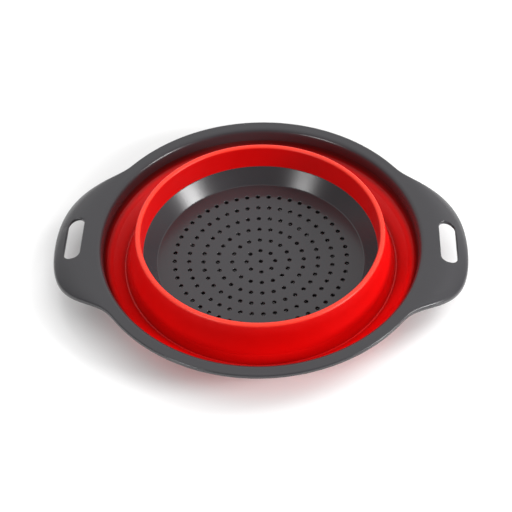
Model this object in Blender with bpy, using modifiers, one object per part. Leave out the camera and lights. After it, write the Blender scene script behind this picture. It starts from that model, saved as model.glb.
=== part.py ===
"""A collapsible kitchen colander, folded flat: a slotted-handle rim and a perforated base of hard
plastic, joined by a soft wall that folds at a crest and a valley.

Metres, +Z up. The origin is the middle of the footprint, on the surface that the foot stands on, and
+X runs through a handle. All turned pieces share one number of sides, so that their flats line up.
Sizes chain outwards from the floor and upwards from the valley fold, each set once below.
"""

import math

import bmesh
import bpy
from mathutils import Matrix, Vector

MM = 0.001

# Fits
PIECE_GAP = 0.3 * MM  # between pieces that are bonded or moulded together
SLIDE_GAP = 0.7 * MM  # between rings that pass each other as the wall unfolds
CUT_PAST = 2.0 * MM  # how far a cutter runs past what it cuts

# Roundness
RING_SIDES = 48
HOLE_SIDES = 8
HANDLE_STATIONS = 26  # along one handle
HANDLE_COURSES = 6  # from the rim to the handle's edge
CORNER_POINTS = 4

# Base moulding
FLOOR_RADIUS = 71.7 * MM
FLOOR_THICKNESS = 2.2 * MM
FLOOR_HEIGHT = 9.0 * MM  # upper face at its edge
FLOOR_DISH = 3.4 * MM  # how far the middle lies below the edge
BASE_WALL_RISE = 10.5 * MM
BASE_WALL_SPREAD = 8.9 * MM
BASE_WALL_THICKNESS = 2.2 * MM
FOOT_INSET = 5.7 * MM  # from the floor's edge to the middle of the foot
FOOT_WIDTH = 3.0 * MM
DRAIN_NOTCHES = 4
DRAIN_NOTCH_WIDTH = 14.0 * MM
DRAIN_NOTCH_HEIGHT = 3.0 * MM

# Drain holes: one in the middle, then rings of 8, 16, 24 and so on
HOLE_DIAMETER = 2.8 * MM
HOLE_RING_PITCH = 10.0 * MM
HOLES_IN_FIRST_RING = 8
HOLE_MARGIN = 8.0 * MM  # plain floor outside the outermost ring's centres
HOLE_PATTERN_TURN = math.radians(3.7)

# Soft wall
SOFT_THICKNESS = 1.4 * MM
VALLEY_HEIGHT = 6.9 * MM  # lowest face of the valley fold
FOLD_DEPTH = 29.6 * MM  # from the valley to the crest, so the rim rises twice this
FOLD_WIDTH = 0.9 * MM  # inside a folded edge
INNER_BAND_SPREAD = 0.6 * MM
MIDDLE_RINGS = 4
MIDDLE_RING_THICKNESS = 1.0 * MM
CREST_LEG = 4.2 * MM
VALLEY_LEG = 0.6 * MM
SHELF_RISE = 4.6 * MM  # the gently sloping shelf outside the valley
SHELF_SPREAD = 7.5 * MM
BEND_RISE = 3.4 * MM  # the steeper strip between the shelf and the collar
BEND_SPREAD = 4.2 * MM
OUTER_BAND_RISE = 2.4 * MM
OUTER_BAND_SPREAD = 2.2 * MM

# Rim moulding
COLLAR_DEPTH = 9.5 * MM
COLLAR_SPREAD = 1.1 * MM
COLLAR_THICKNESS = 2.3 * MM
FLANGE_WIDTH = 9.2 * MM
FLANGE_THICKNESS = 3.0 * MM
EDGE_ROUND = 0.8 * MM

# Handles, each an ear that swells out of the rim and droops towards its edge
HANDLE_REACH = 24.2 * MM
HANDLE_ROOT_ANGLE = math.radians(39.0)  # where the ear's edge runs into the rim's
HANDLE_FULLNESS = 3.9  # a higher power keeps the reach full further from the handle's middle
HANDLE_FADE = 4.0  # a higher power makes the root a longer, tighter S
HANDLE_END_SHARE = 0.82  # how far towards the root the ear's own solid runs before it gets too thin
HANDLE_DROOP = 9.7 * MM  # of the ear's edge at full reach
DROOP_POWER = 1.4  # how the edge's droop follows its reach
CURL_POWER = 2.4  # how the droop grows from the rim to the edge
SLOT_LENGTH = 37.6 * MM
SLOT_WIDTH = 11.9 * MM
SLOT_CORNER = 5.4 * MM
SLOT_INSET = 10.2 * MM  # from the rim's edge to the slot's middle
SLOT_BOW = 1.0 * MM  # how far the outer side's ends fall back

# Worked out from the above
FOOT_RADIUS = FLOOR_RADIUS - FOOT_INSET
BASE_WALL_RADIUS = FLOOR_RADIUS + PIECE_GAP
BASE_TOP_RADIUS = BASE_WALL_RADIUS + BASE_WALL_SPREAD
BASE_TOP_HEIGHT = FLOOR_HEIGHT + BASE_WALL_RISE
CREST_TOP = VALLEY_HEIGHT + FOLD_DEPTH + SOFT_THICKNESS
CREST_INNER_RADIUS = BASE_TOP_RADIUS + INNER_BAND_SPREAD
CREST_WIDTH = 2.0 * SOFT_THICKNESS + FOLD_WIDTH
MIDDLE_PITCH = MIDDLE_RING_THICKNESS + SLIDE_GAP
MIDDLE_RADIUS = CREST_INNER_RADIUS + CREST_WIDTH + SLIDE_GAP
VALLEY_INNER_RADIUS = MIDDLE_RADIUS + MIDDLE_RINGS * MIDDLE_PITCH
VALLEY_LEG_RADIUS = VALLEY_INNER_RADIUS + FOLD_WIDTH + SOFT_THICKNESS / 2.0
VALLEY_LEG_TOP = VALLEY_HEIGHT + SOFT_THICKNESS + VALLEY_LEG
SHELF_RADIUS = VALLEY_LEG_RADIUS + SHELF_SPREAD
SHELF_HEIGHT = VALLEY_LEG_TOP + SHELF_RISE
BEND_RADIUS = SHELF_RADIUS + BEND_SPREAD
BEND_HEIGHT = SHELF_HEIGHT + BEND_RISE
COLLAR_FOOT_RADIUS = BEND_RADIUS + OUTER_BAND_SPREAD
COLLAR_FOOT_HEIGHT = BEND_HEIGHT + OUTER_BAND_RISE + PIECE_GAP
COLLAR_TOP_RADIUS = COLLAR_FOOT_RADIUS + COLLAR_SPREAD
FLANGE_TOP = COLLAR_FOOT_HEIGHT + COLLAR_DEPTH
RIM_RADIUS = COLLAR_TOP_RADIUS + FLANGE_WIDTH


def empty_scene():
    for obj in list(bpy.data.objects):
        bpy.data.objects.remove(obj, do_unlink=True)


def new_collection(name, helper=False):
    collection = bpy.data.collections.new(name)
    bpy.context.scene.collection.children.link(collection)
    collection.hide_render = helper
    return collection


def plastic(name, colour, roughness):
    material = bpy.data.materials.new(name)
    material.use_nodes = True
    shader = material.node_tree.nodes["Principled BSDF"]
    shader.inputs["Base Color"].default_value = (*colour, 1.0)
    shader.inputs["Roughness"].default_value = roughness
    shader.inputs["Metallic"].default_value = 0.0
    return material


def add_empty(name, collection):
    empty = bpy.data.objects.new(name, None)
    collection.objects.link(empty)
    return empty


def add_object(name, data, collection, parent=None, material=None):
    obj = bpy.data.objects.new(name, data)
    collection.objects.link(obj)
    obj.parent = parent
    if material is not None and not data.materials:
        data.materials.append(material)
    return obj


def turned(name, profile, closed, collection, parent, material):
    """Turns (radius, height) points, which run down the outer side, all the way round Z."""
    mesh = bpy.data.meshes.new(name)
    count = len(profile)
    edges = [(i, i + 1) for i in range(count - 1)]
    if closed:
        edges.append((count - 1, 0))
    mesh.from_pydata([(r, 0.0, z) for r, z in profile], edges, [])
    obj = add_object(name, mesh, collection, parent, material)
    screw = obj.modifiers.new("turn", "SCREW")
    screw.steps = RING_SIDES
    screw.render_steps = RING_SIDES
    screw.use_merge_vertices = True
    screw.merge_threshold = 0.01 * MM
    return obj


def banded(line, thickness):
    """A closed profile of even thickness on both sides of a line that climbs outwards or upwards."""
    points = [Vector(p) for p in line]
    outer, inner = [], []
    for i, point in enumerate(points):
        before = (point - points[i - 1]).normalized() if i else None
        after = (points[i + 1] - point).normalized() if i + 1 < len(points) else None
        along = ((before or after) + (after or before)).normalized()
        across = Vector((along.y, -along.x))
        stretch = 1.0 / along.dot(after or before)
        outer.append(point + across * thickness * 0.5 * stretch)
        inner.append(point - across * thickness * 0.5 * stretch)
    return [tuple(p) for p in reversed(outer)] + [tuple(p) for p in inner]


def cut(obj, cutter):
    boolean = obj.modifiers.new("cut", "BOOLEAN")
    boolean.operation = "DIFFERENCE"
    boolean.solver = "EXACT"
    boolean.object = cutter


def as_cutter(obj):
    obj.hide_render = True
    obj.display_type = "WIRE"
    return obj


def hole_ring_count():
    return int((FLOOR_RADIUS - HOLE_MARGIN) / HOLE_RING_PITCH + 1e-6)


def hole_centres():
    """The middle, then ring k at k pitches with k times the first ring's holes, all starting on one line."""
    centres = [(0.0, 0.0)]
    for ring in range(1, hole_ring_count() + 1):
        count = HOLES_IN_FIRST_RING * ring
        for i in range(count):
            angle = HOLE_PATTERN_TURN + 2.0 * math.pi * i / count
            radius = ring * HOLE_RING_PITCH
            centres.append((radius * math.cos(angle), radius * math.sin(angle)))
    return centres


def dish_height(radius):
    """How far the dished floor's upper face lies below its edge: a parabola inside the last hole ring."""
    share = min(1.0, radius / (hole_ring_count() * HOLE_RING_PITCH))
    return FLOOR_DISH * (1.0 - share * share)


def make_hole_cutters(collection):
    builder = bmesh.new()
    top = FLOOR_HEIGHT + CUT_PAST
    bottom = FLOOR_HEIGHT - FLOOR_DISH - FLOOR_THICKNESS - CUT_PAST
    for x, y in hole_centres():
        bmesh.ops.create_cone(
            builder,
            cap_ends=True,
            segments=HOLE_SIDES,
            radius1=HOLE_DIAMETER / 2.0,
            radius2=HOLE_DIAMETER / 2.0,
            depth=top - bottom,
            matrix=Matrix.Translation((x, y, (top + bottom) / 2.0)),
        )
    mesh = bpy.data.meshes.new("drain_hole_cutters")
    builder.to_mesh(mesh)
    builder.free()
    return as_cutter(add_object("drain_hole_cutters", mesh, collection))


def make_base_floor(parts, cutters, parent, material):
    steps = hole_ring_count()
    radii = [HOLE_RING_PITCH * i for i in range(steps + 1)] + [FLOOR_RADIUS]
    upper = [(r, FLOOR_HEIGHT - dish_height(r)) for r in radii]
    lower = [(r, z - FLOOR_THICKNESS) for r, z in reversed(upper)]
    floor = turned("base_floor", upper + lower, False, parts, parent, material)
    cut(floor, make_hole_cutters(cutters))


def make_base_wall(parts, parent, material):
    """The cone round the floor, level at its foot and at its top, where the soft wall is bonded on."""
    foot = FLOOR_HEIGHT - FLOOR_THICKNESS
    slope = BASE_WALL_SPREAD / BASE_WALL_RISE
    thickness = BASE_WALL_THICKNESS * math.hypot(1.0, slope)
    profile = [
        (BASE_TOP_RADIUS + thickness, BASE_TOP_HEIGHT),
        (BASE_WALL_RADIUS + thickness, FLOOR_HEIGHT),
        (BASE_WALL_RADIUS + BASE_WALL_THICKNESS / 2.0, foot),
        (BASE_WALL_RADIUS, foot),
        (BASE_WALL_RADIUS, FLOOR_HEIGHT),
        (BASE_TOP_RADIUS, BASE_TOP_HEIGHT),
    ]
    turned("base_wall", profile, True, parts, parent, material)


def make_notch_cutters(collection):
    """Boxes across the foot ring, halfway between the handles' axis and the one across it."""
    builder = bmesh.new()
    for i in range(DRAIN_NOTCHES):
        angle = 2.0 * math.pi * (i + 0.5) / DRAIN_NOTCHES
        place = Matrix.Rotation(angle, 4, "Z") @ Matrix.Translation((FOOT_RADIUS, 0.0, 0.0))
        size = Matrix.Diagonal((4.0 * FOOT_WIDTH, DRAIN_NOTCH_WIDTH, 2.0 * DRAIN_NOTCH_HEIGHT, 1.0))
        bmesh.ops.create_cube(builder, size=1.0, matrix=place @ size)
    mesh = bpy.data.meshes.new("drain_notch_cutters")
    builder.to_mesh(mesh)
    builder.free()
    return as_cutter(add_object("drain_notch_cutters", mesh, collection))


def make_foot_ring(parts, cutters, parent, material):
    outer = FOOT_RADIUS + FOOT_WIDTH / 2.0
    inner = FOOT_RADIUS - FOOT_WIDTH / 2.0
    top = FLOOR_HEIGHT - FLOOR_THICKNESS - PIECE_GAP
    profile = [(outer, top), (outer, 0.0), (inner, 0.0), (inner, top)]
    foot = turned("foot_ring", profile, True, parts, parent, material)
    cut(foot, make_notch_cutters(cutters))


def make_inner_band(parts, parent, material):
    """The soft band that climbs from the base wall to the crest."""
    top = CREST_TOP - SOFT_THICKNESS - CREST_LEG - PIECE_GAP
    foot = BASE_TOP_HEIGHT + PIECE_GAP
    profile = [
        (CREST_INNER_RADIUS + SOFT_THICKNESS, top),
        (BASE_TOP_RADIUS + SOFT_THICKNESS, foot),
        (BASE_TOP_RADIUS, foot),
        (CREST_INNER_RADIUS, top),
    ]
    turned("wall_inner_band", profile, True, parts, parent, material)


def make_crest_hinge(parts, parent, material):
    """The upper folded edge: an upside-down U."""
    inner = CREST_INNER_RADIUS
    outer = inner + CREST_WIDTH
    leg = CREST_TOP - SOFT_THICKNESS - CREST_LEG
    under = CREST_TOP - SOFT_THICKNESS
    profile = [
        (inner, CREST_TOP - EDGE_ROUND),
        (inner + EDGE_ROUND, CREST_TOP),
        (outer - EDGE_ROUND, CREST_TOP),
        (outer, CREST_TOP - EDGE_ROUND),
        (outer, leg),
        (outer - SOFT_THICKNESS, leg),
        (outer - SOFT_THICKNESS, under),
        (inner + SOFT_THICKNESS, under),
        (inner + SOFT_THICKNESS, leg),
        (inner, leg),
    ]
    turned("crest_hinge", profile, True, parts, parent, material)


def make_middle_ring(index, parts, parent, material):
    """One level of the band that turns inside out, as a ring that passes its neighbours freely."""
    height = FOLD_DEPTH / MIDDLE_RINGS
    top = CREST_TOP - SOFT_THICKNESS / 2.0 - height * index
    inner = MIDDLE_RADIUS + MIDDLE_PITCH * index
    outer = inner + MIDDLE_RING_THICKNESS
    profile = [(outer, top), (outer, top - height), (inner, top - height), (inner, top)]
    turned(f"wall_middle_ring_{index + 1}", profile, True, parts, parent, material)


def make_valley_hinge(parts, parent, material):
    """The lower folded edge, with the leg that climbs to the outer band."""
    inner = VALLEY_INNER_RADIUS
    leg_inner = VALLEY_LEG_RADIUS - SOFT_THICKNESS / 2.0
    leg_outer = VALLEY_LEG_RADIUS + SOFT_THICKNESS / 2.0
    floor = VALLEY_HEIGHT + SOFT_THICKNESS
    profile = [
        (leg_outer, VALLEY_LEG_TOP),
        (leg_outer, VALLEY_HEIGHT + EDGE_ROUND),
        (leg_outer - EDGE_ROUND, VALLEY_HEIGHT),
        (inner + EDGE_ROUND, VALLEY_HEIGHT),
        (inner, VALLEY_HEIGHT + EDGE_ROUND),
        (inner, floor),
        (leg_inner, floor),
        (leg_inner, VALLEY_LEG_TOP),
    ]
    turned("valley_hinge", profile, True, parts, parent, material)


def make_outer_band(parts, parent, material):
    """The soft band that spreads from the valley over a shelf, and bends up to the rim's collar."""
    lift = PIECE_GAP + SOFT_THICKNESS / 2.0
    line = [
        (VALLEY_LEG_RADIUS, VALLEY_LEG_TOP + lift),
        (SHELF_RADIUS, SHELF_HEIGHT - lift),
        (BEND_RADIUS, BEND_HEIGHT - lift),
        (COLLAR_FOOT_RADIUS + SOFT_THICKNESS / 2.0, COLLAR_FOOT_HEIGHT - PIECE_GAP - lift),
    ]
    turned("wall_outer_band", banded(line, SOFT_THICKNESS), True, parts, parent, material)


def make_rim_ring(parts, parent, material):
    """The flange with its rounded edge, and the collar that goes down to the soft wall."""
    under = FLANGE_TOP - FLANGE_THICKNESS
    slope = COLLAR_SPREAD / COLLAR_DEPTH
    under_radius = COLLAR_TOP_RADIUS + COLLAR_THICKNESS - slope * FLANGE_THICKNESS
    profile = [
        (RIM_RADIUS - EDGE_ROUND, FLANGE_TOP),
        (RIM_RADIUS, FLANGE_TOP - EDGE_ROUND),
        (RIM_RADIUS, under),
        (under_radius, under),
        (COLLAR_FOOT_RADIUS + COLLAR_THICKNESS, COLLAR_FOOT_HEIGHT),
        (COLLAR_FOOT_RADIUS, COLLAR_FOOT_HEIGHT),
        (COLLAR_TOP_RADIUS, FLANGE_TOP - EDGE_ROUND),
        (COLLAR_TOP_RADIUS + EDGE_ROUND, FLANGE_TOP),
    ]
    turned("rim_ring", profile, True, parts, parent, material)


def handle_radius(angle):
    """The ear's edge: reach x (1 - u^fullness)^fade, where u runs from 0 at its middle to 1 at its root."""
    share = min(1.0, abs(angle) / HANDLE_ROOT_ANGLE)
    return RIM_RADIUS + HANDLE_REACH * (1.0 - share**HANDLE_FULLNESS) ** HANDLE_FADE


def handle_top(radius, edge):
    """Height of the ear's upper face, which curls down towards its edge."""
    reach = edge - RIM_RADIUS
    droop = HANDLE_DROOP * (reach / HANDLE_REACH) ** DROOP_POWER
    return FLANGE_TOP - droop * ((radius - RIM_RADIUS) / reach) ** CURL_POWER


def handle_section(angle):
    """One (radius, height) cut through the ear: out over the upper face, down the edge, back underneath."""
    seat = RIM_RADIUS + PIECE_GAP
    edge = handle_radius(angle)
    run = edge - EDGE_ROUND - seat
    radii = [seat + run * i / HANDLE_COURSES for i in range(HANDLE_COURSES + 1)]
    upper = [(r, handle_top(r, edge)) for r in radii]
    side = [(edge, handle_top(edge, edge) - EDGE_ROUND), (edge, handle_top(edge, edge) - FLANGE_THICKNESS)]
    lower = [(r, z - FLANGE_THICKNESS) for r, z in reversed(upper)]
    return upper + side + lower


def closed_loft(name, loops):
    """A mesh through loops of equally many points, with a flat cap on the first and the last."""
    builder = bmesh.new()
    rows = [[builder.verts.new(point) for point in loop] for loop in loops]
    for row, after in zip(rows, rows[1:]):
        for i in range(len(row)):
            builder.faces.new((row[i - 1], row[i], after[i], after[i - 1]))
    builder.faces.new(reversed(rows[0]))
    builder.faces.new(rows[-1])
    bmesh.ops.recalc_face_normals(builder, faces=builder.faces)
    mesh = bpy.data.meshes.new(name)
    builder.to_mesh(mesh)
    builder.free()
    return mesh


def slot_outline():
    """A rounded rectangle across the handle, whose outer side bends with the ear's edge."""
    half_width = SLOT_WIDTH / 2.0
    half_length = SLOT_LENGTH / 2.0
    points = []
    for corner in range(4):
        middle = math.pi / 2.0 * corner
        side_x = 1.0 if corner in (0, 3) else -1.0
        side_y = 1.0 if corner in (0, 1) else -1.0
        for i in range(CORNER_POINTS + 1):
            angle = middle + math.pi / 2.0 * i / CORNER_POINTS
            x = side_x * (half_width - SLOT_CORNER) + SLOT_CORNER * math.cos(angle)
            y = side_y * (half_length - SLOT_CORNER) + SLOT_CORNER * math.sin(angle)
            outer_share = (x / half_width + 1.0) / 2.0
            x -= SLOT_BOW * (y / half_length) ** 2 * outer_share
            points.append((RIM_RADIUS + SLOT_INSET + x, y))
    return points


def make_handles(parts, cutters, parent, material):
    """Two drooping ears with finger slots, opposite each other, sharing one mesh and one slot plug."""
    last = HANDLE_ROOT_ANGLE * HANDLE_END_SHARE
    angles = [last * (2.0 * i / HANDLE_STATIONS - 1.0) for i in range(HANDLE_STATIONS + 1)]
    loops = [[(r * math.cos(a), r * math.sin(a), z) for r, z in handle_section(a)] for a in angles]
    ear = closed_loft("handle", loops)
    low = FLANGE_TOP - HANDLE_DROOP - FLANGE_THICKNESS - CUT_PAST
    high = FLANGE_TOP + CUT_PAST
    plug = closed_loft("slot_plug", [[(x, y, z) for x, y in slot_outline()] for z in (low, high)])
    for name, turn in (("handle_right", 0.0), ("handle_left", math.pi)):
        handle = add_object(name, ear, parts, parent, material)
        cutter = as_cutter(add_object(name + "_slot", plug, cutters))
        handle.rotation_euler.z = turn
        cutter.rotation_euler.z = turn
        cut(handle, cutter)


def main():
    empty_scene()
    parts = new_collection("collapsible_colander")
    cutters = new_collection("cutters", helper=True)
    hard = plastic("charcoal_polypropylene", (0.055, 0.054, 0.058), 0.38)
    soft = plastic("red_soft_rubber", (0.66, 0.008, 0.010), 0.42)

    base = add_empty("base_frame", parts)
    make_base_floor(parts, cutters, base, hard)
    make_base_wall(parts, base, hard)
    make_foot_ring(parts, cutters, base, hard)
    make_inner_band(parts, base, soft)
    make_crest_hinge(parts, base, soft)

    for index in range(MIDDLE_RINGS):
        level = add_empty(f"middle_slide_{index + 1}", parts)
        make_middle_ring(index, parts, level, soft)

    rim = add_empty("rim_slide", parts)
    make_valley_hinge(parts, rim, soft)
    make_outer_band(parts, rim, soft)
    make_rim_ring(parts, rim, hard)
    make_handles(parts, cutters, rim, hard)


main()
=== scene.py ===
# A collapsible kitchen colander, folded flat on a pale table: a hard charcoal rim with two ear handles and a
# hard perforated base, joined by a soft red wall that folds at a crest and a valley.
import math

import bmesh
import bpy
import numpy as np
from mathutils import Matrix, Vector


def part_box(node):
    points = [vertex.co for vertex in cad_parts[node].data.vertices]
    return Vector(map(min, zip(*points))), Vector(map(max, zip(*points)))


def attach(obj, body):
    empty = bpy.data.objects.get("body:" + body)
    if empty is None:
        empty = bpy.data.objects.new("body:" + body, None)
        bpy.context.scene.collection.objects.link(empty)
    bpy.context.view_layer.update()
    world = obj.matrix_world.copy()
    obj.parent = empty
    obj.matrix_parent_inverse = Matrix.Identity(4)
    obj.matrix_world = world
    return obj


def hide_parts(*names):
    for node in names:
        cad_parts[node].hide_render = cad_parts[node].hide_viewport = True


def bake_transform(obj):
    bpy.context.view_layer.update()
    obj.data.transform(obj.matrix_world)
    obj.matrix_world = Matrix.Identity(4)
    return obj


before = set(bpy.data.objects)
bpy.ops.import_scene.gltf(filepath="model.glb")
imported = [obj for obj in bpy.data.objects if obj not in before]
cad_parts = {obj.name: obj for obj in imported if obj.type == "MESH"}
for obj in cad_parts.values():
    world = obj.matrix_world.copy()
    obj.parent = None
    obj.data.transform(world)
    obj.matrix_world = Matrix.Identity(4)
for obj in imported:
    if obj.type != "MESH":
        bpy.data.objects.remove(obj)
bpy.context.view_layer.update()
mm = 0.001
fullTurn = 2.0 * math.pi


# The lowest (side 0) or highest (side 1) place of a CAD node along an axis, in mm.
def cadEdge(node, side, axis):
    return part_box(node)[side][axis] / mm


# Straight runs between (r, z, fillet) corners, with a tangent arc of that fillet at each corner. Each arc's ends
# are followed by a point a little way along the straight run, which keeps the shading of the run flat.
def roundedLine(corners, arcSteps=7, hold=0.3):
    corners = [np.array(c, float) for c in corners]
    points = [corners[0][:2]]
    for before, here, after in zip(corners, corners[1:], corners[2:]):
        fillet = here[2]
        if fillet <= 0.0:
            points.append(here[:2])
            continue
        back = before[:2] - here[:2]
        ahead = after[:2] - here[:2]
        back /= np.linalg.norm(back)
        ahead /= np.linalg.norm(ahead)
        turn = math.pi - math.acos(float(np.clip(back @ ahead, -1.0, 1.0)))
        reach = fillet * math.tan(turn / 2.0)
        middle = back + ahead
        centre = here[:2] + middle / np.linalg.norm(middle) * fillet / math.cos(turn / 2.0)
        first = here[:2] + back * reach - centre
        last = here[:2] + ahead * reach - centre
        share = np.linspace(0.0, 1.0, arcSteps + 1)[:, None]
        arc = centre + (first * np.sin((1.0 - share) * turn) + last * np.sin(share * turn)) / math.sin(turn)
        points += [here[:2] + back * (reach + hold), *arc, here[:2] + ahead * (reach + hold)]
    points.append(corners[-1][:2])
    return np.array(points)


# The same line with its long runs cut into equal steps no longer than the given length.
def divided(line, longest):
    pieces = []
    for start, end in zip(line, line[1:]):
        count = max(1, math.ceil(np.linalg.norm(end - start) / longest))
        pieces.append(start + (end - start) * np.arange(count)[:, None] / count)
    return np.vstack([*pieces, line[-1:]])


# A closed profile: the line moved half the thickness to its left, then back along its right side.
def ribbon(line, thickness):
    along = np.gradient(line, axis=0)
    along /= np.linalg.norm(along, axis=1)[:, None]
    across = np.stack([-along[:, 1], along[:, 0]], axis=1) * (np.asarray(thickness) / 2.0).reshape(-1, 1)
    return np.vstack([line + across, (line - across)[::-1]])


# Corner numbers of the quads of a rows x columns grid of points, wrapped round where it closes.
def gridQuads(rows, columns, firstPoint=0, closeRows=True, closeColumns=True):
    row = np.arange(rows if closeRows else rows - 1)[:, None]
    column = np.arange(columns if closeColumns else columns - 1)[None, :]
    nextRow = (row + 1) % rows
    nextColumn = (column + 1) % columns
    corners = [row * columns + column, nextRow * columns + column]
    corners += [nextRow * columns + nextColumn, row * columns + nextColumn]
    quads = np.stack([np.broadcast_to(c, (len(row), column.size)) for c in corners], axis=-1)
    return quads.reshape(-1, 4) + firstPoint


# Turns every face over if the closed surface's volume, summed over its triangles, comes out negative.
def facedOut(points, faces):
    volume = 0.0
    for group in faces:
        for i in range(1, group.shape[1] - 1):
            a, b, c = points[group[:, 0]], points[group[:, i]], points[group[:, i + 1]]
            volume += float(np.einsum("ij,ij->", a, np.cross(b, c)))
    return [group[:, ::-1] for group in faces] if volume < 0.0 else faces


# A mesh object from points in mm and lists of quads and triangles, shaded smooth.
def makePiece(name, points, faces, material):
    faces = facedOut(points, faces)
    mesh = bpy.data.meshes.new(name)
    mesh.from_pydata((points * mm).tolist(), [], [f for group in faces for f in group.tolist()])
    mesh.shade_smooth()
    mesh.materials.append(material)
    piece = bpy.data.objects.new(name, mesh)
    bpy.context.scene.collection.objects.link(piece)
    return piece


# A closed (r, z) profile carried round Z: x = r cos a, y = r sin a, for every angle a.
def turnedPoints(profile, around):
    angle = fullTurn * np.arange(around)[:, None] / around
    radius, height = profile[None, :, 0], profile[None, :, 1]
    return np.stack([radius * np.cos(angle), radius * np.sin(angle), height + 0.0 * angle], axis=-1)


def makeTurned(name, profile, around, material):
    points = turnedPoints(profile, around)
    return makePiece(name, points.reshape(-1, 3), [gridQuads(around, len(profile))], material)


# An sRGB hex colour as linear red, green, blue and alpha.
def linearColour(hexColour):
    channels = [int(hexColour[i : i + 2], 16) / 255.0 for i in (1, 3, 5)]
    return [c / 12.92 if c <= 0.04045 else ((c + 0.055) / 1.055) ** 2.4 for c in channels] + [1.0]


# One shader node with its settings, and its inputs set to values or linked from other nodes' outputs.
def addNode(tree, kind, inputs=None, **settings):
    made = tree.nodes.new(kind)
    for key, value in settings.items():
        setattr(made, key, value)
    for socket, value in (inputs or {}).items():
        if isinstance(value, bpy.types.NodeSocket):
            tree.links.new(value, made.inputs[socket])
        else:
            made.inputs[socket].default_value = value
    return made


def newMaterial(name):
    material = bpy.data.materials.new(name)
    material.use_nodes = True
    tree = material.node_tree
    tree.nodes.clear()
    return material, tree


# Painted shade: the colour, darkened where other surfaces close in within the reach, as shade falls in deep folds.
# It is kept where the open share of the view is above the look's open share, and falls to the look's dark share of
# itself at its shut share.
def paintedRecessShade(tree, colour, look):
    openShare = addNode(tree, "ShaderNodeAmbientOcclusion", {"Distance": look["paintedShadeReachMm"] * mm}, samples=8)
    kept = addNode(tree, "ShaderNodeMapRange", {
        "Value": openShare.outputs["AO"],
        "From Min": look["paintedShadeShut"],
        "From Max": look["paintedShadeOpen"],
        "To Min": look["paintedShadeDark"],
        "To Max": 1.0,
    }, interpolation_type="SMOOTHSTEP")
    return addNode(tree, "ShaderNodeVectorMath", {0: colour, "Scale": kept.outputs["Result"]},
                   operation="SCALE").outputs["Vector"]


def finishMaterial(tree, shader):
    addNode(tree, "ShaderNodeOutputMaterial", {"Surface": shader.outputs["BSDF"]})


hardPlasticLook = {
    "colour": "#353437",
    "paleColour": "#38373a",
    "roughness": 0.25,
    "roughnessSpread": 0.015,
    "grainMm": 0.35,
    "grainDepthMm": 0.004,
    "cloudMm": 26.0,
    # reach and shares of the painted shade in folds and recesses
    "paintedShadeReachMm": 20.0,
    "paintedShadeShut": 0.1,
    "paintedShadeOpen": 0.88,
    "paintedShadeDark": 0.12,
}


# Polypropylene, injection moulded in a finely spark-eroded tool, with carbon black: a dark neutral grey with a
# satin gloss that scatters a little, and flow clouds that only show as a slight change of gloss.
def makeHardPlastic():
    look = hardPlasticLook
    material, tree = newMaterial("mouldedCharcoalPolypropylene")
    place = addNode(tree, "ShaderNodeTexCoord").outputs["Object"]
    cloudInputs = {"Vector": place, "Scale": 1.0 / (look["cloudMm"] * mm), "Detail": 3.0, "Roughness": 0.55}
    cloud = addNode(tree, "ShaderNodeTexNoise", cloudInputs).outputs["Fac"]
    grainInputs = {"Vector": place, "Scale": 1.0 / (look["grainMm"] * mm), "Detail": 2.0}
    grain = addNode(tree, "ShaderNodeTexNoise", grainInputs).outputs["Fac"]
    tone = addNode(tree, "ShaderNodeMix", {"Factor": cloud, 6: linearColour(look["colour"]),
                                           7: linearColour(look["paleColour"])}, data_type="RGBA")
    low, high = look["roughness"] - look["roughnessSpread"], look["roughness"] + look["roughnessSpread"]
    gloss = addNode(tree, "ShaderNodeMapRange", {"Value": cloud, "From Min": 0.3, "From Max": 0.7,
                                                 "To Min": low, "To Max": high})
    bump = addNode(tree, "ShaderNodeBump", {"Height": grain, "Strength": 0.25,
                                            "Distance": look["grainDepthMm"] * mm})
    shader = addNode(tree, "ShaderNodeBsdfPrincipled", {
        # painted shade: the base colour is darkened in folds and recesses
        "Base Color": paintedRecessShade(tree, tone.outputs[2], look),
        "Roughness": gloss.outputs["Result"],
        "Normal": bump.outputs["Normal"],
        "IOR": 1.49,
    })
    finishMaterial(tree, shader)
    return material


softRubberLook = {
    "colour": "#e80000",
    "deepColour": "#de0000",
    "roughness": 0.40,
    "roughnessSpread": 0.02,
    "grainMm": 0.30,
    "grainDepthMm": 0.004,
    "cloudMm": 18.0,
    # reach and shares of the painted shade in folds and recesses
    "paintedShadeReachMm": 14.0,
    "paintedShadeShut": 0.15,
    "paintedShadeOpen": 0.62,
    "paintedShadeDark": 0.05,
    "paintedLipHighlightColour": "#ff3d2a",
    "paintedLipHighlightLowMm": 36.0,  # height where the painted highlight on the crest's lip starts
    "paintedLipHighlightHighMm": 37.8,
    "paintedSeatShadeInnerMm": 103.0,  # radius where the painted shade starts, darkening the wall towards its seat under the collar
    "paintedSeatShadeOuterMm": 107.8,
    "paintedSeatShadeDark": 0.07,
}
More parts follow.
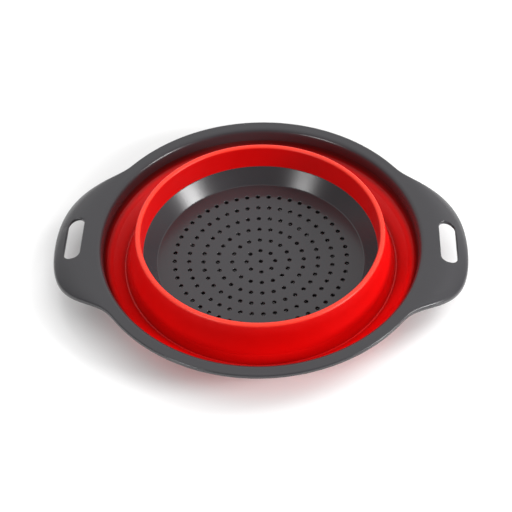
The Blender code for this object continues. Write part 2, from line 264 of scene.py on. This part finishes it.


# Thermoplastic rubber, moulded in a finely textured tool: a full red with a soft satin sheen, and light enters a
# little way.
# The crest's thin lip has a painted highlight in a paler colour, and the wall has painted shade towards its seat
# under the collar and in its folds.
def makeSoftRubber():
    look = softRubberLook
    material, tree = newMaterial("mouldedRedThermoplasticRubber")
    place = addNode(tree, "ShaderNodeTexCoord").outputs["Object"]
    cloudInputs = {"Vector": place, "Scale": 1.0 / (look["cloudMm"] * mm), "Detail": 3.0, "Roughness": 0.5}
    cloud = addNode(tree, "ShaderNodeTexNoise", cloudInputs).outputs["Fac"]
    grainInputs = {"Vector": place, "Scale": 1.0 / (look["grainMm"] * mm), "Detail": 2.0}
    grain = addNode(tree, "ShaderNodeTexNoise", grainInputs).outputs["Fac"]
    tone = addNode(tree, "ShaderNodeMix", {"Factor": cloud, 6: linearColour(look["deepColour"]),
                                           7: linearColour(look["colour"])}, data_type="RGBA")
    # painted highlight: the crest's lip is mixed towards a paler orange red
    lipHighlight = addNode(tree, "ShaderNodeAttribute", attribute_name="paintedLipHighlightShare").outputs["Fac"]
    tone = addNode(tree, "ShaderNodeMix", {"Factor": lipHighlight, 6: tone.outputs[2],
                                           7: linearColour(look["paintedLipHighlightColour"])}, data_type="RGBA")
    # painted shade: the wall's colour darkens by radius towards its seat under the collar
    flat = addNode(tree, "ShaderNodeVectorMath", {0: place, 1: (1.0, 1.0, 0.0)}, operation="MULTIPLY")
    radius = addNode(tree, "ShaderNodeVectorMath", {0: flat.outputs["Vector"]}, operation="LENGTH")
    paintedSeatShade = addNode(tree, "ShaderNodeMapRange", {
        "Value": radius.outputs["Value"],
        "From Min": look["paintedSeatShadeInnerMm"] * mm,
        "From Max": look["paintedSeatShadeOuterMm"] * mm,
        "To Min": 1.0,
        "To Max": look["paintedSeatShadeDark"],
    }, interpolation_type="SMOOTHSTEP")
    shaded = addNode(tree, "ShaderNodeVectorMath", {0: tone.outputs[2], "Scale": paintedSeatShade.outputs["Result"]},
                     operation="SCALE")
    low, high = look["roughness"] - look["roughnessSpread"], look["roughness"] + look["roughnessSpread"]
    gloss = addNode(tree, "ShaderNodeMapRange", {"Value": cloud, "From Min": 0.3, "From Max": 0.7,
                                                 "To Min": low, "To Max": high})
    bump = addNode(tree, "ShaderNodeBump", {"Height": grain, "Strength": 0.25,
                                            "Distance": look["grainDepthMm"] * mm})
    shader = addNode(tree, "ShaderNodeBsdfPrincipled", {
        # painted shade: the base colour is darkened in folds and recesses, on top of the painted shade at the seat
        "Base Color": paintedRecessShade(tree, shaded.outputs["Vector"], look),
        "Roughness": gloss.outputs["Result"],
        "Normal": bump.outputs["Normal"],
        "IOR": 1.48,
        "Specular IOR Level": 0.4,
        "Subsurface Weight": 0.12,
        "Subsurface Radius": (1.0, 0.12, 0.08),
        "Subsurface Scale": 0.0015,
    })
    finishMaterial(tree, shader)
    return material


hardPlastic = makeHardPlastic()
softRubber = makeSoftRubber()


rimShape = {
    "around": 720,
    "flangeThickness": 3.0,
    "edgeRound": 1.1,
    "edgeUnderRound": 0.5,
    "collarTop": 109.3,
    "collarFoot": 108.2,
    "collarThickness": 2.3,
    "innerRound": 3.4,  # flange into collar
    "outerRound": 2.4,  # the same corner underneath
    "footRound": 0.4,
    "earStart": 114.0,  # the flange inside this radius stays round
    "rootAngle": math.radians(39.0),
    "fullness": 3.9,
    "fade": 4.0,
    "droopPower": 1.4,  # how the ear edge's droop follows its reach
    "curlPower": 2.4,  # how the droop grows from the rim to the edge
    "cornerSink": 0.3,  # how far the outer corner under the flange moves in
    "longestStep": 0.7,
    "sharpAngle": math.radians(32.0),
}

slotShape = {
    "length": 37.6,
    "width": 11.9,
    "corner": 5.4,
    "inset": 10.2,  # from the rim's edge to the slot's middle
    "bow": 1.0,  # how far the outer side's ends fall back
    "edgeRound": 0.7,
    "around": 96,
    "layers": 8,
    "past": 1.0,  # how far the plug stands clear of the faces it cuts
}


def fullReach():
    return cadEdge("handle_right", 1, 0) - cadEdge("rim_ring", 1, 0)


# How far the rim's edge swells out at each angle: full reach x (1 - u^fullness)^fade, where u runs from 0 at the
# handle's middle to 1 at its root.
def earReach(angle):
    off = np.abs((angle + math.pi / 2.0) % math.pi - math.pi / 2.0)
    share = np.minimum(off / rimShape["rootAngle"], 1.0)
    return fullReach() * (1.0 - share ** rimShape["fullness"]) ** rimShape["fade"]


# How far the ear bends down at each place: the droop of its edge, a power of the reach there, times a power of
# the share of the way from the rim to that edge.
def earDroop(x, y):
    reach = np.maximum(earReach(np.arctan2(y, x)), 0.001)
    drop = cadEdge("rim_ring", 1, 2) - rimShape["flangeThickness"] - cadEdge("handle_right", 0, 2)
    share = np.clip((np.hypot(x, y) - cadEdge("rim_ring", 1, 0)) / reach, 0.0, 1.2)
    return drop * (reach / fullReach()) ** rimShape["droopPower"] * share ** rimShape["curlPower"]


# From the flange's middle outwards, round the edge, back underneath, down and up the collar and round its inner
# corner.
def rimProfile():
    r = rimShape
    edge, top, foot = cadEdge("rim_ring", 1, 0), cadEdge("rim_ring", 1, 2), cadEdge("rim_ring", 0, 2)
    under = top - r["flangeThickness"]
    thick = r["collarThickness"]
    start = (r["collarTop"] + r["innerRound"] + edge) / 2.0
    corners = [
        (start, top, 0.0),
        (edge, top, r["edgeRound"]),
        (edge, under, r["edgeUnderRound"]),
        (r["collarTop"] + thick - r["cornerSink"], under, r["outerRound"]),
        (r["collarFoot"] + thick, foot, r["footRound"]),
        (r["collarFoot"], foot, r["footRound"]),
        (r["collarTop"], top, r["innerRound"]),
        (start, top, 0.0),
    ]
    return divided(roundedLine(corners), r["longestStep"])[:-1]


# The rim's profile carried round, with everything outside earStart pushed out by the ears' reach and bent down by
# their droop.
def rimPoints():
    profile = rimProfile()
    points = turnedPoints(profile, rimShape["around"])
    edge = cadEdge("rim_ring", 1, 0) - rimShape["edgeRound"]
    share = np.clip((profile[:, 0] - rimShape["earStart"]) / (edge - rimShape["earStart"]), 0.0, 1.0)
    angle = fullTurn * np.arange(rimShape["around"]) / rimShape["around"]
    push = earReach(angle)[:, None] * share[None, :]
    points[..., 0] += push * np.cos(angle)[:, None]
    points[..., 1] += push * np.sin(angle)[:, None]
    points[..., 2] -= earDroop(points[..., 0], points[..., 1])
    return points


# A plug through one handle: its rounded-rectangle outline, offset outwards by a quarter circle near the handle's
# two faces and bent down with them, so that the cut leaves rounded edges.
def slotCutter(side):
    s = slotShape
    top = cadEdge("rim_ring", 1, 2)
    under = top - rimShape["flangeThickness"]
    bend = np.linspace(0.0, math.pi / 2.0, s["layers"])
    flare = s["edgeRound"] * (1.0 - np.cos(bend))
    rise = s["edgeRound"] * (1.0 - np.sin(bend))
    past = s["past"]
    offset = np.concatenate([[flare[-1] + past], flare[::-1], flare, [flare[-1] + past]])
    height = np.concatenate([[under - past], under + rise[::-1], top - rise, [top + past]])
    turn = fullTurn * (np.arange(s["around"]) + 0.5) / s["around"]
    corner = (s["corner"] + offset)[None, :]
    x = np.sign(np.cos(turn))[:, None] * (s["width"] / 2.0 - s["corner"]) + corner * np.cos(turn)[:, None]
    y = np.sign(np.sin(turn))[:, None] * (s["length"] / 2.0 - s["corner"]) + corner * np.sin(turn)[:, None]
    outerShare = np.clip((x / (s["width"] / 2.0) + 1.0) / 2.0, 0.0, 1.2)
    x = x - s["bow"] * (y / (s["length"] / 2.0)) ** 2 * outerShare
    x = x + cadEdge("rim_ring", 1, 0) + s["inset"]
    z = height[None, :] - earDroop(x, y)
    z[:, 0], z[:, -1] = cadEdge("handle_right", 0, 2) - past, top + past
    points = np.stack([x * side, y * side, z], axis=-1)
    rows, columns = x.shape
    sides = gridQuads(rows, columns, closeColumns=False)
    caps = np.vstack([points.reshape(-1, 3), points[:, 0].mean(axis=0), points[:, -1].mean(axis=0)])
    first, second = rows * columns, rows * columns + 1
    ring = np.arange(rows)
    lowFan = np.stack([np.full(rows, first), (ring + 1) % rows * columns, ring * columns], axis=1)
    highFan = np.stack([np.full(rows, second), ring * columns + columns - 1,
                        (ring + 1) % rows * columns + columns - 1], axis=1)
    return makePiece(f"slotCutter{int(side + 2)}", caps, [sides, lowFan, highFan], hardPlastic)


def makeRim():
    points = rimPoints()
    rim = makePiece("rimMoulding", points.reshape(-1, 3), [gridQuads(*points.shape[:2])], hardPlastic)
    cutters = [slotCutter(1.0), slotCutter(-1.0)]
    for cutter in cutters:
        boolean = rim.modifiers.new("slot", "BOOLEAN")
        boolean.operation = "DIFFERENCE"
        boolean.solver = "EXACT"
        boolean.object = cutter
    whole = bpy.data.meshes.new_from_object(rim.evaluated_get(bpy.context.evaluated_depsgraph_get()))
    rim.modifiers.clear()
    rim.data = whole
    for cutter in cutters:
        bpy.data.objects.remove(cutter)
    whole.shade_smooth()
    whole.set_sharp_from_angle(angle=rimShape["sharpAngle"])
    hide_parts("rim_ring", "handle_right", "handle_left")
    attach(rim, "rim")
    return rim


makeRim()
print("rim made")


wallShape = {
    "around": 480,
    "thickness": 1.4,
    "innerFootRadius": 80.9,
    "crestInner": 82.2,  # middle line of the crest's inner leg
    "crestOuter": 84.3,
    "crestRound": 1.02,
    "kneeRadius": 89.9,
    "kneeHeight": 14.6,
    "kneeRound": 6.0,
    "valleyInner": 93.2,
    "valleyOuter": 94.6,
    "valleyRound": 0.9,
    "shelfRadius": 102.3,
    "shelfHeight": 12.5,
    "bendRadius": 106.5,
    "bendHeight": 15.8,
    "collarSeat": 108.9,
    "crestSeam": 35.6,  # heights where the turning band meets the two still ones
    "valleySeam": 9.8,
    "bandRound": 2.0,  # fillet at the shelf and at the bend
    "collarGap": 0.1,
    "longestStep": 1.0,
    "middleStep": 0.6,
    "sharpAngle": math.radians(40.0),
}


# The middle line of the whole folded wall in one section, from the base up over the crest, down into the valley
# and out to the rim's collar.
def wallLine():
    w = wallShape
    half = w["thickness"] / 2.0
    crest = cadEdge("crest_hinge", 1, 2) - half
    valley = cadEdge("valley_hinge", 0, 2) + half
    foot = cadEdge("base_wall", 1, 2) + half
    collar = cadEdge("rim_ring", 0, 2) - w["collarGap"]
    corners = [
        (w["innerFootRadius"] + half, foot - half, 0.0),
        (w["crestInner"], crest, w["crestRound"]),
        (w["crestOuter"], crest, w["crestRound"]),
        (w["kneeRadius"], w["kneeHeight"], w["kneeRound"]),
        (w["valleyInner"], valley, w["valleyRound"]),
        (w["valleyOuter"], valley, w["valleyRound"]),
        (w["shelfRadius"], w["shelfHeight"], w["bandRound"]),
        (w["bendRadius"], w["bendHeight"], w["bandRound"]),
        (w["collarSeat"], collar, 0.0),
    ]
    return divided(roundedLine(corners), w["longestStep"])


# The section's line cut at the two seams, which lie on the straight run between crest and valley.
def wallStretches():
    line = wallLine()
    top = int(np.argmax(line[:, 1]))
    low = top + int(np.argmin(line[top:, 1]))
    run = line[top:low]
    cuts = []
    for height in (wallShape["crestSeam"], wallShape["valleySeam"]):
        i = int(np.argmax(run[:, 1] < height))
        share = (run[i - 1, 1] - height) / (run[i - 1, 1] - run[i, 1])
        cuts.append((top + i, run[i - 1] + (run[i] - run[i - 1]) * share))
    (crestIndex, crestPoint), (valleyIndex, valleyPoint) = cuts
    inner = np.vstack([line[:crestIndex], crestPoint])
    middle = np.vstack([crestPoint, line[crestIndex:valleyIndex], valleyPoint])
    outer = np.vstack([valleyPoint, line[valleyIndex:]])
    return inner, middle, outer


# Keeps on each point how far up the crest's lip it lies, 0 to 1 as a smooth step of its folded height, so that
# the painted highlight on the lip stays with the crest when the wall moves.
def storePaintedLipHighlight(piece):
    place = np.empty(len(piece.data.vertices) * 3)
    piece.data.vertices.foreach_get("co", place)
    low, high = softRubberLook["paintedLipHighlightLowMm"], softRubberLook["paintedLipHighlightHighMm"]
    share = np.clip((place[2::3] / mm - low) / (high - low), 0.0, 1.0)
    made = piece.data.attributes.new("paintedLipHighlightShare", "FLOAT", "POINT")
    made.data.foreach_set("value", share * share * (3.0 - 2.0 * share))


def makeWall():
    inner, middle, outer = wallStretches()
    around, thickness = wallShape["around"], wallShape["thickness"]
    innerWall = makeTurned("innerWall", ribbon(inner, thickness), around, softRubber)
    storePaintedLipHighlight(innerWall)
    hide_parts("wall_inner_band", "crest_hinge")
    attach(innerWall, "base")
    outerWall = makeTurned("outerWall", ribbon(outer, thickness), around, softRubber)
    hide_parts("wall_outer_band", "valley_hinge")
    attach(outerWall, "rim")
    middle = divided(middle, wallShape["middleStep"])
    middleWall = makeTurned("middleWall", ribbon(middle, thickness), around, softRubber)
    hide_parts(*[f"wall_middle_ring_{i}" for i in range(1, 5)])
    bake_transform(middleWall)
    for piece in (innerWall, outerWall, middleWall):
        piece.data.set_sharp_from_angle(angle=wallShape["sharpAngle"])


makeWall()
print("soft wall made")


baseShape = {
    "ringPitch": 10.0,
    "rings": 6,
    "firstRingHoles": 8,
    "cellHalf": 4.1,  # half the radial depth of one hole's patch
    "sideSteps": 6,  # points along each side of a hole's patch
    "holeRadius": 1.4,
    "holeRound": 0.45,
    "patternTurn": math.radians(3.7),
    "floorThickness": 2.2,
    "dish": 3.4,
    "floorFillet": 1.0,
    "wallTop": 80.9,
    "beadRound": 0.6,
    "weldReach": 0.002,
    "floorGap": 0.3,  # from the floor's edge to the foot of the wall
    "startGap": 0.4,  # from the last patch to the turned outside
    "endGap": 0.2,
    "lipRound": 0.4,
    "outerRound": 1.5,
    "underRound": 1.0,
    "footRootRound": 0.6,
    "footInnerRound": 0.5,
    "footRound": 0.7,
    "footWidth": 3.0,
    "longestStep": 1.2,
    "notchHalf": 7.0,  # half the length of a drain notch
    "notchEdge": 1.4,  # length of the slope at its ends
    "notchRise": 3.0,
}


# The dished floor's upper face: level outside the last hole ring and a parabola inside it.
def floorTop(radius):
    b = baseShape
    share = np.minimum(radius / (b["ringPitch"] * b["rings"]), 1.0)
    return cadEdge("base_floor", 1, 2) - b["dish"] * (1.0 - share * share)


# One ring of holes. Each hole has a patch between two radii and two spokes, whose border is drawn in to the
# hole's edge, goes down the hole and spreads again underneath. Points run [hole, border step, layer].
def holeRing(ring, firstPoint):
    b = baseShape
    count = b["firstRingHoles"] * ring
    steps = b["sideSteps"]
    side = np.arange(steps) / steps * 2.0 - 1.0
    one = np.ones(steps)
    across = np.concatenate([side, one, -side, -one])  # along the ring
    outwards = np.concatenate([-one, side, one, -side])
    spoke = fullTurn * np.arange(count) / count + b["patternTurn"]
    middle = ring * b["ringPitch"]
    halfSpoke = math.pi / count
    borderAngle = spoke[:, None] + across[None, :] * halfSpoke
    borderRadius = (middle + outwards * b["cellHalf"])[None, :] + 0.0 * borderAngle
    border = np.stack([borderRadius * np.cos(borderAngle), borderRadius * np.sin(borderAngle)], axis=-1)
    # The circle's directions follow the patch border's own, seen from the hole's middle.
    bearing = np.arctan2(across * middle * halfSpoke, outwards * b["cellHalf"])
    bearing = spoke[:, None] + bearing[None, :]
    centre = middle * np.stack([np.cos(spoke), np.sin(spoke)], axis=-1)[:, None, :]
    around = np.stack([np.cos(bearing), np.sin(bearing)], axis=-1)
    return patchPoints(border, centre, around, firstPoint)


# The layers from a patch's border over the hole's rounded edge, down, and out to the same border below.
def patchPoints(border, centre, around, firstPoint):
    b = baseShape
    hole, fillet, thick = b["holeRadius"], b["holeRound"], b["floorThickness"]
    bend = np.linspace(0.0, math.pi / 2.0, 4)
    flare = hole + fillet * (1.0 - np.sin(bend))  # from flat to upright
    drop = fillet * (1.0 - np.cos(bend))
    flatEdge = centre + around * (hole + fillet)
    layers = [(border, 0.0), (border * 0.5 + flatEdge * 0.5, 0.0), (border * 0.12 + flatEdge * 0.88, 0.0)]
    layers += [(centre + around * f, -d) for f, d in zip(flare, drop)]
    layers += [(centre + around * f, -thick + d) for f, d in zip(flare[::-1], drop[::-1])]
    layers += [(border * 0.5 + flatEdge * 0.5, -thick), (border, -thick)]
    plane = np.stack([p for p, _ in layers], axis=-2)
    height = floorTop(np.linalg.norm(plane, axis=-1)) + np.array([z for _, z in layers])
    points = np.concatenate([plane, height[..., None]], axis=-1)
    cells, steps, depth = points.shape[:3]
    quads = gridQuads(steps, depth, closeColumns=False)
    quads = quads[None] + (np.arange(cells) * steps * depth)[:, None, None] + firstPoint
    return points, quads.reshape(-1, 4)


# Triangles between two rings of points, evenly spaced from their first angles. Each step of one ring is joined to
# the other ring's nearest point, so the strip closes whatever the two counts are.
def zipRings(innerIds, innerTurn, outerIds, outerTurn):
    m, n = len(innerIds), len(outerIds)
    innerMiddle = (np.arange(m) + 0.5) / m * fullTurn + innerTurn
    outerMiddle = (np.arange(n) + 0.5) / n * fullTurn + outerTurn
    nearOuter = np.floor((innerMiddle - outerTurn) / fullTurn * n + 0.5 + 1e-9).astype(int) % n
    nearInner = np.floor((outerMiddle - innerTurn) / fullTurn * m + 0.5 - 1e-9).astype(int) % m
    i, j = np.arange(m), np.arange(n)
    inwards = np.stack([innerIds[i], innerIds[(i + 1) % m], outerIds[nearOuter]], axis=1)
    outwards = np.stack([outerIds[(j + 1) % n], outerIds[j], innerIds[nearInner]], axis=1)
    return np.vstack([inwards, outwards])


# The numbers of one hole ring's border points along its outer or inner arc, in order of angle.
def borderIds(ring, firstPoint, depth, outer, layer):
    b = baseShape
    count, steps = b["firstRingHoles"] * ring, b["sideSteps"]
    cell = np.arange(count)[:, None]
    if outer:
        local = (2 * steps + steps - np.arange(steps))[None, :]  # this side runs backwards round the patch
    else:
        local = np.arange(steps)[None, :]
    return (firstPoint + (cell * 4 * steps + local) * depth + layer).reshape(-1)


# Every hole ring, the middle hole, the strips between them, and the turned wall and foot round the outside.
def basePoints():
    b = baseShape
    steps = b["sideSteps"]
    points, quads, strips = [], [], []
    total = 0
    # The middle hole's patch has a round border.
    turn = fullTurn * np.arange(4 * steps) / (4 * steps) + b["patternTurn"]
    direction = np.stack([np.cos(turn), np.sin(turn)], axis=-1)[None]
    middle, faces = patchPoints(direction * b["cellHalf"], np.zeros((1, 1, 2)), direction, 0)
    faces = faces[:, ::-1]  # its border runs the other way round from the rings' patches
    depth = middle.shape[2]
    points.append(middle.reshape(-1, 3))
    quads.append(faces)
    total += points[-1].shape[0]
    lastTop = (np.arange(4 * steps) * depth, b["patternTurn"])
    lastLow = (np.arange(4 * steps) * depth + depth - 1, b["patternTurn"])
    for ring in range(1, b["rings"] + 1):
        made, faces = holeRing(ring, total)
        first = b["patternTurn"] - math.pi / (b["firstRingHoles"] * ring)
        for layer, last in ((0, lastTop), (depth - 1, lastLow)):
            strip = zipRings(last[0], last[1], borderIds(ring, total, depth, False, layer), first)
            strips.append(strip if layer == 0 else strip[:, ::-1])
        lastTop = (borderIds(ring, total, depth, True, 0), first)
        lastLow = (borderIds(ring, total, depth, True, depth - 1), first)
        points.append(made.reshape(-1, 3))
        quads.append(faces)
        total += points[-1].shape[0]
    # The turned outside starts on the last ring's outer border and ends under it.
    around = b["firstRingHoles"] * b["rings"] * steps
    profile = baseProfile()
    angle = first + fullTurn * np.arange(around)[:, None] / around
    outside = np.stack([profile[None, :, 0] * np.cos(angle), profile[None, :, 0] * np.sin(angle),
                        profile[None, :, 1] + 0.0 * angle], axis=-1)
    outside[..., 2] = footNotches(angle, outside)
    columns = profile.shape[0]
    quads.append(gridQuads(around, columns, total, closeColumns=False))
    ring0, ring1 = total + np.arange(around) * columns, total + np.arange(around) * columns + columns - 1
    for inner, outer, flip in ((lastTop[0], ring0, False), (lastLow[0], ring1, True)):
        strip = zipRings(inner, first, outer, first)
        strips.append(strip[:, ::-1] if flip else strip)
    points.append(outside.reshape(-1, 3))
    return np.vstack(points), np.vstack(quads), np.vstack(strips)


# From the floor outwards: a fillet, up the cone, over the lip that the soft wall sits on, down outside, under the
# floor, and round the foot ring.
def baseProfile():
    b = baseShape
    floor, foot = cadEdge("base_floor", 1, 2), cadEdge("foot_ring", 0, 2)
    under = floor - b["floorThickness"]
    wallFoot, wallTop = cadEdge("base_floor", 1, 0) + b["floorGap"], b["wallTop"]
    top = cadEdge("base_wall", 1, 2)
    thick = cadEdge("base_wall", 1, 0) - wallTop
    footOuter = cadEdge("foot_ring", 1, 0)
    footInner = footOuter - b["footWidth"]
    start = b["ringPitch"] * b["rings"] + b["cellHalf"] + b["startGap"]
    corners = [
        (start, floor, 0.0),
        (wallFoot, floor, b["floorFillet"]),
        (wallTop, top, b["beadRound"]),
        (wallTop + thick, top, b["lipRound"]),
        (wallFoot + thick, floor, b["outerRound"]),
        (wallFoot, under, b["underRound"]),
        (footOuter, under, b["footRootRound"]),
        (footOuter, foot, b["footRound"]),
        (footInner, foot, b["footRound"]),
        (footInner, under, b["footInnerRound"]),
        (start - b["endGap"], under, 0.0),
    ]
    return divided(roundedLine(corners), b["longestStep"])


# Lifts the foot's lower face in four short stretches, so that water drains out from under the floor.
def footNotches(angle, outside):
    height = outside[..., 2]
    foot = cadEdge("foot_ring", 0, 2)
    off = (angle / (math.pi / 2.0) % 1.0 - 0.5) * math.pi / 2.0 * cadEdge("foot_ring", 1, 0)
    inside = np.clip((baseShape["notchHalf"] - np.abs(off)) / baseShape["notchEdge"] + 0.5, 0.0, 1.0)
    lifted = np.maximum(height, foot + baseShape["notchRise"])
    return height * (1.0 - inside) + lifted * inside


# Joins points that lie on one another, which closes the borders between patches and drops faces of no area.
def weld(piece, reachMm):
    mesh = bmesh.new()
    mesh.from_mesh(piece.data)
    bmesh.ops.remove_doubles(mesh, verts=mesh.verts, dist=reachMm * mm)
    mesh.to_mesh(piece.data)
    mesh.free()


def makeBase():
    points, quads, strips = basePoints()
    base = makePiece("baseMoulding", points, [quads, strips], hardPlastic)
    weld(base, baseShape["weldReach"])
    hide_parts("base_floor", "base_wall", "foot_ring")
    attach(base, "base")
    return base


makeBase()
print("base made")


studio = {
    "tableColour": "#f2f2f2",
    "tableRoughness": 0.22,
    # painted light: the table glows though it is no lamp, from the inner radius outwards round an off-centre middle
    "paintedTableGlow": 0.34,
    "paintedGlowInnerMm": 118.0,
    "paintedGlowOuterMm": 178.0,
    "paintedGlowMiddleMm": (-10.0, 24.0, 0.0),
    "scrimStrength": 1.0,
    "roomStrength": 0.14,
    "scrimDirection": (0.0, 0.62, 0.78),
    # each softbox: place in metres, width and height in metres, power in watts
    "keyBox": ((1.2, 0.5, 1.05), 0.7, 0.7, 9.0),
    "rightBox": ((1.05, -0.36, 0.52), 0.34, 0.3, 10.0),
    "leftBox": ((-0.68, -0.75, 0.56), 0.28, 0.3, 4.5),
    "tableSize": 8.0,
    "cameraSensor": 36.0,
    "cameraLens": 95.83,
    "cameraElevation": math.radians(47.62),
    "cameraRoll": math.radians(1.75),
    "cameraTurn": math.radians(3.7 - 0.56),
    "cameraOffset": (3.28, -1.25, 948.5),  # mm right, up and away, from the floor's middle to the lens
}


# The table, glowing as painted light: no glow within the inner radius of a middle set off to the left and behind,
# rising to full glow at the outer radius, so a darker pool is left round the colander as painted shadow.
def makeTable():
    material, tree = newMaterial("whiteLacqueredTable")
    place = addNode(tree, "ShaderNodeTexCoord").outputs["Object"]
    haze = addNode(tree, "ShaderNodeTexNoise", {"Vector": place, "Scale": 6.0, "Detail": 2.0}).outputs["Fac"]
    gloss = addNode(tree, "ShaderNodeMapRange", {"Value": haze, "To Min": studio["tableRoughness"] - 0.03,
                                                 "To Max": studio["tableRoughness"] + 0.03})
    middle = [m * mm for m in studio["paintedGlowMiddleMm"]]
    distance = addNode(tree, "ShaderNodeVectorMath", {0: place, 1: middle}, operation="DISTANCE").outputs["Value"]
    paintedGlow = addNode(tree, "ShaderNodeMapRange", {
        "Value": distance,
        "From Min": studio["paintedGlowInnerMm"] * mm,
        "From Max": studio["paintedGlowOuterMm"] * mm,
        "To Max": studio["paintedTableGlow"],
    }, interpolation_type="SMOOTHSTEP")
    shader = addNode(tree, "ShaderNodeBsdfPrincipled", {
        "Base Color": linearColour(studio["tableColour"]),
        "Roughness": gloss.outputs["Result"],
        "Emission Color": (1.0, 1.0, 1.0, 1.0),
        "Emission Strength": paintedGlow.outputs["Result"],
    })
    finishMaterial(tree, shader)
    bpy.ops.mesh.primitive_plane_add(size=studio["tableSize"])
    table = bpy.context.object
    table.name = "table"
    table.data.materials.append(material)


# A rectangular area light at its place in the studio settings, aimed at the colander.
def addSoftbox(name):
    place, width, height, power = studio[name]
    light = bpy.data.lights.new(name, "AREA")
    light.shape = "RECTANGLE"
    light.size, light.size_y, light.energy = width, height, power
    box = bpy.data.objects.new(name, light)
    bpy.context.scene.collection.objects.link(box)
    box.location = place
    box.rotation_euler = (-Vector(place)).to_track_quat("-Z", "Y").to_euler()
    return box


# A dim room with a large white scrim overhead and behind: the strength is a smooth step of the cosine between
# each direction and the scrim's middle.
def makeWorld():
    world = bpy.data.worlds.new("studio")
    bpy.context.scene.world = world
    world.use_nodes = True
    tree = world.node_tree
    place = addNode(tree, "ShaderNodeTexCoord").outputs["Generated"]
    facing = addNode(tree, "ShaderNodeVectorMath", {0: place, 1: studio["scrimDirection"]}, operation="DOT_PRODUCT")
    strength = addNode(tree, "ShaderNodeMapRange", {
        "Value": facing.outputs["Value"],
        "From Min": 0.0,
        "From Max": 0.9,
        "To Min": studio["roomStrength"],
        "To Max": studio["scrimStrength"],
    }, interpolation_type="SMOOTHSTEP")
    tree.links.new(strength.outputs["Result"], tree.nodes["Background"].inputs["Strength"])
    tree.nodes["Background"].inputs["Color"].default_value = (1.0, 1.0, 1.0, 1.0)


# The lens looks down at the bowl with a slight roll: right, up and forward are its own axes, and the offset is
# measured along them from the middle of the floor's edge plane.
def makeCamera():
    tilt, roll, turn = studio["cameraElevation"], studio["cameraRoll"], studio["cameraTurn"]
    right = np.array([1.0, 0.0, 0.0])
    up = np.array([0.0, math.sin(tilt), math.cos(tilt)])
    forward = np.array([0.0, math.cos(tilt), -math.sin(tilt)])
    rolledRight = right * math.cos(roll) - up * math.sin(roll)
    rolledUp = right * math.sin(roll) + up * math.cos(roll)
    spin = np.array([[math.cos(turn), -math.sin(turn), 0.0], [math.sin(turn), math.cos(turn), 0.0], [0.0, 0.0, 1.0]])
    x, y, z = (spin @ v for v in (rolledRight, rolledUp, -forward))
    offset = studio["cameraOffset"]
    floorMiddle = np.array([0.0, 0.0, cadEdge("base_floor", 1, 2)])
    place = (floorMiddle - offset[0] * x - offset[1] * y + offset[2] * z) * mm
    camera = bpy.data.objects.new("camera", bpy.data.cameras.new("camera"))
    bpy.context.scene.collection.objects.link(camera)
    matrix = np.eye(4)
    matrix[:3, 0], matrix[:3, 1], matrix[:3, 2], matrix[:3, 3] = x, y, z, place
    camera.matrix_world = Matrix(matrix.tolist())
    camera.data.lens = studio["cameraLens"]
    camera.data.sensor_width = studio["cameraSensor"]
    bpy.context.scene.camera = camera


bpy.context.scene.view_settings.view_transform = "Standard"
makeWorld()
makeTable()
keyBox = addSoftbox("keyBox")
keyBox.visible_glossy = False  # as if cross-polarised: it lights and shades, and leaves no mirror streak
addSoftbox("rightBox")
addSoftbox("leftBox")
makeCamera()
print("studio made")
